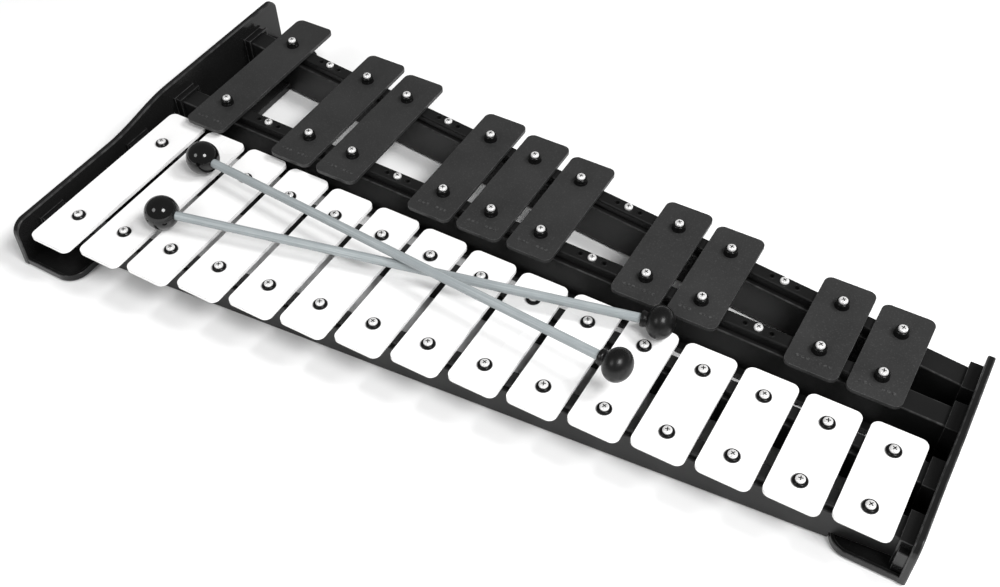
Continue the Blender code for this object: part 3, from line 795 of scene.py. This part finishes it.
def make_strip(name, bar_xs, empty_xs):
    """The strip between a rail and its bars, with a collar at each bar and spare holes."""
    row = name.split("_")[0]
    low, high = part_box(name + "_strip")
    turn = rail_turn(name)
    bottom = RAILS[name][2] + STRIP_GAP
    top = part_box(ROW_BAR[row])[0].z - STRIP_GAP
    bar_top = top + STRIP_GAP + BAR_THICKNESS
    middle = (low.x + high.x) / 2
    half = (max(bar_xs) - min(bar_xs)) / 2 / math.cos(turn) + 12 * MM
    width = STRIP_WIDTH / 2
    section = [(-width, bottom), (width, bottom), (width * 0.96, top - 0.9 * MM),
               (width * 0.80, top), (-width * 0.80, top), (-width * 0.96, top - 0.9 * MM)]
    body = bevel(prism(section, 0, -half, half), STRIP_EDGE, 2, 20)
    place(body, Matrix.Translation((middle, rail_y(name, middle), 0))
          @ Matrix.Rotation(turn, 4, "Z"))
    collar = lathe(collar_profile(row, (bottom + top) / 2, bar_top + 0.05 * MM), 32)
    collars = copies(collar, [Matrix.Translation((x, rail_y(name, x), 0)) for x in bar_xs])
    collar.free()
    if empty_xs:
        spare_xs = [x + offset * math.cos(turn) for x in empty_xs
                    for offset in (-SPARE_HOLE_OFFSET, SPARE_HOLE_OFFSET)]
        holes = bmesh.new()
        for x in spare_xs:
            bmesh.ops.create_cone(
                holes, cap_ends=True, segments=16, depth=SPARE_HOLE_DEPTH,
                radius1=SPARE_HOLE_RADII[0], radius2=SPARE_HOLE_RADII[1],
                matrix=Matrix.Translation((x, rail_y(name, x), top - 0.3 * MM)))
        body = boolean(body, holes)
        rim = lathe(round_profile([(1.35 * MM, 0.1 * MM), (1.45 * MM, 0.35 * MM),
                                   (1.9 * MM, 0.3 * MM), (2.2 * MM, -0.1 * MM)], 0.1 * MM), 20)
        collars = merged(collars, copies(rim, [
            Matrix.Translation((x, rail_y(name, x), top - 0.15 * MM)) for x in spare_xs]))
        rim.free()

    def choose(face):
        """Glossy for the collars, dull for the strip."""
        return int(face.calc_center_median().z > top + 0.3 * MM)

    piece(name + "_sleeves", merged(body, collars), [STRIP_RUBBER, COLLAR], BODY,
          [name + "_strip"], 35, choose)


# ---------------------------------------------------------------- end casings

def wall_outline(front, rear, side):
    """Side view of a wall: low at the naturals, an S-shaped step, high at the sharps."""
    end_x = side * CASING_X
    step_start = rail_y("natural_rear", end_x) - STEP_BEHIND_NATURALS
    step_end = rail_y("sharp_front", end_x) - STEP_BEFORE_SHARPS
    outline = [(front, WALL_BOTTOM), (rear, WALL_BOTTOM)]
    radius = REAR_RADIUS[side]
    outline += arc((rear - radius, SHARP_WALL_TOP - radius), radius, 0, 90, 10)
    steps = 26
    for i in range(steps + 1):
        t = i / steps
        rise = (1 + math.cos(math.pi * t)) / 2
        outline.append((step_end + (step_start - step_end) * t,
                        NATURAL_WALL_TOP + (SHARP_WALL_TOP - NATURAL_WALL_TOP) * rise))
    corner = (front + FRONT_LEAN + FRONT_RADIUS, NATURAL_WALL_TOP - FRONT_RADIUS)
    return outline + arc(corner, FRONT_RADIUS, 90, 180, 12)


def floor_bmesh(front, rear, side):
    """The flange under a wall, sunk inside a lip."""
    outer = side * (CASING_X - WALL / 2 + LIP_WIDTH / 2)
    inner = side * (CASING_X - FLOOR_REACH)
    radii = (0, FLOOR_CORNER, FLOOR_CORNER, 0) if side > 0 else (FLOOR_CORNER, 0, 0, FLOOR_CORNER)
    outline = rounded_rectangle(min(outer, inner), max(outer, inner),
                                front + FLOOR_INSET, rear - FLOOR_INSET, radii, 12)
    bm = prism(outline, 2, FLOOR_BOTTOM, LIP_TOP)
    top = max(bm.faces, key=lambda face: face.calc_center_median().z)
    bmesh.ops.inset_region(bm, faces=[top], thickness=LIP_WIDTH, use_even_offset=True)
    sunk = bmesh.ops.extrude_face_region(bm, geom=[top])["geom"]
    bmesh.ops.translate(bm, verts=[v for v in sunk if isinstance(v, bmesh.types.BMVert)],
                        vec=(0, 0, FLOOR_TOP - LIP_TOP))
    bmesh.ops.delete(bm, geom=[top], context="FACES_ONLY")
    bmesh.ops.recalc_face_normals(bm, faces=bm.faces)
    return bevel(bm, FLOOR_EDGE, 3, 50)


def socket_bmesh(rail, side):
    """A sleeve on the wall's inner face, open towards the rail; the long wall's are grooved."""
    top = RAILS[rail][2] + SOCKET_TOP_GAP
    y = rail_y(rail, side * (CASING_X - WALL - SOCKET_DEPTH / 2))
    inner = RAIL_WIDTH / 2 + SOCKET_GAP
    low = (FLOOR_BOTTOM + FLOOR_TOP) / 2
    hole = [(y - inner, LIP_TOP), (y + inner, LIP_TOP), (y + inner, top), (y - inner, top)]
    steps = [(-WALL / 2, SOCKET_DEPTH, 0.0)]
    if side < 0:
        steps = [(-WALL / 2, 1.3 * MM, 0.0), (0.6 * MM, 4.6 * MM, 1.0 * MM),
                 (4.2 * MM, SOCKET_DEPTH, 0.0)]
    parts = []
    for near, far, groove in steps:
        wall = SOCKET_WALL - groove
        outer = RAIL_WIDTH / 2 + 0.3 * MM + wall
        ring = [(y - outer, low), (y + outer, low), (y + outer, top + wall),
                (y - outer, top + wall)]
        start, end = sorted((side * (CASING_X - WALL - near), side * (CASING_X - WALL - far)))
        parts.append(bevel(plate_with_holes([ring, hole], 0, start, end), SOCKET_EDGE, 2, 50))
    return merged(*parts)


def make_casing(label, side):
    """Wall, floor and sockets of one end; the right one has a block behind its front corner."""
    front, rear = CASING_ENDS[side]
    faces = sorted((side * (CASING_X - WALL), side * CASING_X))
    wall = bevel(prism(wall_outline(front, rear, side), 0, *faces), WALL_EDGE, 4, 50)
    parts = [wall, floor_bmesh(front, rear, side)]
    parts += [socket_bmesh(rail, side) for rail in RAILS]
    if side > 0:
        start = front + BLOCK_FRONT
        end = rail_y("natural_front", side * CASING_X) - RAIL_WIDTH / 2 - BLOCK_BEHIND
        low, high = sorted((side * (CASING_X - WALL / 2),
                            side * (CASING_X - WALL - SOCKET_DEPTH + MM)))
        block = [(start, FLOOR_TOP - MM), (end, FLOOR_TOP - MM),
                 (end, BLOCK_TOP), (start, BLOCK_TOP)]
        parts.append(bevel(prism(block, 0, low, high), BLOCK_EDGE, 2))

    def outside(face):
        """Grained on the outer face and underneath, glossy inside."""
        centre = face.calc_center_median()
        return 1 if centre.x * side > CASING_X - 0.5 * MM or face.normal.z < -0.5 else 0

    piece(label + "_end_moulding", merged(*parts), [CASING_INNER, CASING_OUTER], BODY,
          [label + "_casing"], 40, outside)


def make_feet():
    """Round rubber pads with a shallow ring cut into the underside."""
    for name in nodes_named("foot_"):
        low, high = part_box(name)
        centre = (low + high) / 2
        radius = (high.x - low.x) / 2
        height = high.z - low.z
        profile = [(0, height), (radius, height), (radius, 0.4 * MM), (radius - 0.5 * MM, 0),
                   (radius * 0.7, 0), (radius * 0.66, 0.25 * MM), (radius * 0.5, 0.25 * MM),
                   (radius * 0.46, 0), (0, 0)]
        bm = lathe(round_profile(profile, FOOT_EDGE), 40)
        place(bm, Matrix.Translation((centre.x, centre.y, low.z)))
        piece(name + "_pad", bm, [FOOT_RUBBER], BODY, [name])


# ---------------------------------------------------------------- mallets

def mallet_matrix(label):
    """Local Z runs along the shaft from the centre of the ball, found from the CAD solids."""
    low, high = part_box(f"mallet_{label}_head")
    head = (low + high) / 2
    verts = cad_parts[f"mallet_{label}_shaft"].data.vertices
    middle = Vector()
    for vert in verts:
        middle += vert.co
    middle /= len(verts)
    axis = (middle - head).normalized()
    sideways = Vector((0, 0, 1)).cross(axis).normalized()
    upwards = axis.cross(sideways)
    turn = Matrix((sideways, upwards, axis)).transposed().to_4x4()
    shaft_middle = (SHAFT_START + MALLET_REACH - 2.8 * MM) / 2
    return Matrix.Translation(middle - axis * shaft_middle) @ turn


def ball_bmesh():
    """A ball bored out for the shaft."""
    start = math.asin(BALL_BORE / HEAD_RADIUS)
    profile = [(0, BALL_BORE_DEPTH), (BALL_BORE, BALL_BORE_DEPTH)]
    profile += [(HEAD_RADIUS * math.sin(a), HEAD_RADIUS * math.cos(a))
                for a in (start + (math.pi - start) * i / 40 for i in range(41))]
    profile[-1] = (0, -HEAD_RADIUS)
    return lathe(profile, 64)


def shaft_bmesh():
    """A drawn rod with shallow lengthwise flutes."""
    outline = []
    for i in range(SHAFT_SIDES):
        angle = 2 * math.pi * i / SHAFT_SIDES
        radius = SHAFT_RADIUS - FLUTE_DEPTH * (1 - abs(math.cos(angle * SHAFT_FLUTES / 2)) ** 0.5)
        outline.append((radius * math.cos(angle), radius * math.sin(angle)))
    rod = prism(outline, 2, SHAFT_START, MALLET_REACH - SHAFT_END_GAP)
    return bevel(rod, SHAFT_EDGE, 2, 60)


def knob_bmesh():
    """Oval rubber knob with a stepped collar where the shaft enters."""
    join = math.acos(NECK_RADIUS / KNOB_RADIUS)
    profile = [(0, KNOB_HALF)]
    profile += [(KNOB_RADIUS * math.cos(a), KNOB_HALF * math.sin(a))
                for a in (math.pi / 2 - (math.pi / 2 + join) * i / 30 for i in range(1, 31))]
    neck = profile[-1][1]
    end = neck - NECK_LENGTH
    profile += [(3.6 * MM, neck - 0.4 * MM), (3.6 * MM, neck - 0.8 * MM),
                (3.9 * MM, neck - 1.2 * MM), (3.9 * MM, end + 0.5 * MM), (3.55 * MM, end),
                (KNOB_BORE, end), (KNOB_BORE, KNOB_BORE_END), (0, KNOB_BORE_END)]
    return lathe(round_profile(profile, KNOB_EDGE, 3), 56)


def make_mallet(label):
    """Ball, shaft and knob, modelled upright and then laid where the CAD has them."""
    matrix = mallet_matrix(label)
    body = "mallet_" + label
    for part, bm, material, slot_name, along in (
            ("head", ball_bmesh(), BALL, "ball", 0), ("shaft", shaft_bmesh(), SHAFT, "shaft", 0),
            ("knob", knob_bmesh(), GRIP_RUBBER, "grip", MALLET_REACH)):
        place(bm, Matrix.Translation((0, 0, along)))
        obj = piece(f"{body}_{part}_turned", bm, [material], body,
                    [f"{body}_{part}"], 60)
        obj.matrix_world = matrix
        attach(obj, body)


# ---------------------------------------------------------------- build the object

places = {"natural": [], "sharp": []}
for bar in nodes_named("bar_"):
    bar_x, bar_row = make_bar(bar)
    places[bar_row].append(bar_x)
empty_places = [(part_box(name)[0].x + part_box(name)[1].x) / 2
                for name in STRIP_SCREWS if "front" in name]

for rail in RAILS:
    make_rail(rail)
    make_strip(rail, sorted(places[rail.split("_")[0]]),
               empty_places if rail.startswith("sharp") else [])

head = screw_head()
for row, first, rise in (("natural", 0, NATURAL_COLLAR), ("sharp", 40, SHARP_COLLAR + COLLAR_RISE)):
    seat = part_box(ROW_BAR[row])[1].z + rise
    points = [(x, rail_y(f"{row}_{end}", x), seat)
              for end in ("front", "rear") for x in sorted(places[row])]
    piece(row + "_bar_screws", copies(head, screw_transforms(points, first)),
          SCREW_METALS, BODY, [], 35)

strip_points = []
for name in STRIP_SCREWS:
    low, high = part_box(name)
    strip_points.append(((low.x + high.x) / 2, (low.y + high.y) / 2,
                         high.z - STRIP_SCREW_HEIGHT))
piece("strip_screw_heads", copies(head, screw_transforms(strip_points, 7)),
      SCREW_METALS, BODY, STRIP_SCREWS, 35)

casing_nodes = nodes_named("casing_screw")
transforms = []
for i, name in enumerate(casing_nodes):
    low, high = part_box(name)
    centre = Vector(((low.x + high.x) / 2, (low.y + high.y) / 2, low.z + SCREW_HEIGHT))
    transforms.append(Matrix.Translation(centre) @ Matrix.Rotation(math.pi, 4, "X")
                      @ driven_home(i + 3))
piece("casing_screw_heads", copies(head, transforms), SCREW_METALS, BODY, casing_nodes, 35)
head.free()

make_casing("left", -1)
make_casing("right", 1)
make_feet()
make_mallet("lower")
make_mallet("upper")


# ---------------------------------------------------------------- studio

def look_at(obj, target):
    obj.rotation_euler = (Vector(target) - obj.location).to_track_quat("-Z", "Y").to_euler()


def make_floor():
    """A pale plain floor under the object."""
    bm = bmesh.new()
    bmesh.ops.create_grid(bm, x_segments=8, y_segments=8, size=FLOOR_HALF_WIDTH)
    mesh = bpy.data.meshes.new("studio_floor")
    bm.to_mesh(mesh)
    bm.free()
    mesh.materials.append(studio_floor())
    floor = bpy.data.objects.new("studio_floor", mesh)
    bpy.context.scene.collection.objects.link(floor)


def add_light(name, direction, distance, size, power, reflected):
    """A round lamp that faces the object from a direction."""
    data = bpy.data.lights.new(name, "AREA")
    data.shape = "DISK"
    data.size = size
    data.energy = power
    light = bpy.data.objects.new(name, data)
    light.location = Vector(direction).normalized() * distance
    light.visible_glossy = reflected
    bpy.context.scene.collection.objects.link(light)
    look_at(light, (0, 0, 0))


def make_world():
    world = bpy.data.worlds.new("studio")
    world.use_nodes = True
    background = world.node_tree.nodes["Background"]
    background.inputs["Color"].default_value = (1, 1, 1, 1)
    background.inputs["Strength"].default_value = WORLD_STRENGTH
    bpy.context.scene.world = world


def make_camera():
    """A camera at the photograph's viewing angle, fitted to the bar screws."""
    azimuth, elevation, roll = map(math.radians, (CAMERA_AZIMUTH, CAMERA_ELEVATION, CAMERA_ROLL))
    forward = Vector((-math.sin(azimuth) * math.cos(elevation),
                      math.cos(azimuth) * math.cos(elevation), -math.sin(elevation)))
    right = forward.cross(Vector((0, 0, 1))).normalized()
    above = right.cross(forward)
    rolled_right = right * math.cos(roll) + above * math.sin(roll)
    rolled_up = above * math.cos(roll) - right * math.sin(roll)
    target = Vector([part * PITCH for part in CAMERA_TARGET])
    data = bpy.data.cameras.new("camera")
    data.sensor_width = CAMERA_SENSOR
    data.lens = CAMERA_LENS
    data.clip_start = 0.01
    camera = bpy.data.objects.new("camera", data)
    turn = Matrix((rolled_right, rolled_up, -forward)).transposed().to_4x4()
    camera.matrix_world = Matrix.Translation(target - forward * CAMERA_DISTANCE * PITCH) @ turn
    bpy.context.scene.collection.objects.link(camera)
    bpy.context.scene.camera = camera


make_floor()
make_world()
for lamp in LIGHTS:
    add_light(*lamp)
make_camera()
bpy.context.scene.view_settings.view_transform = "Standard"
bpy.context.scene.view_settings.look = "None"
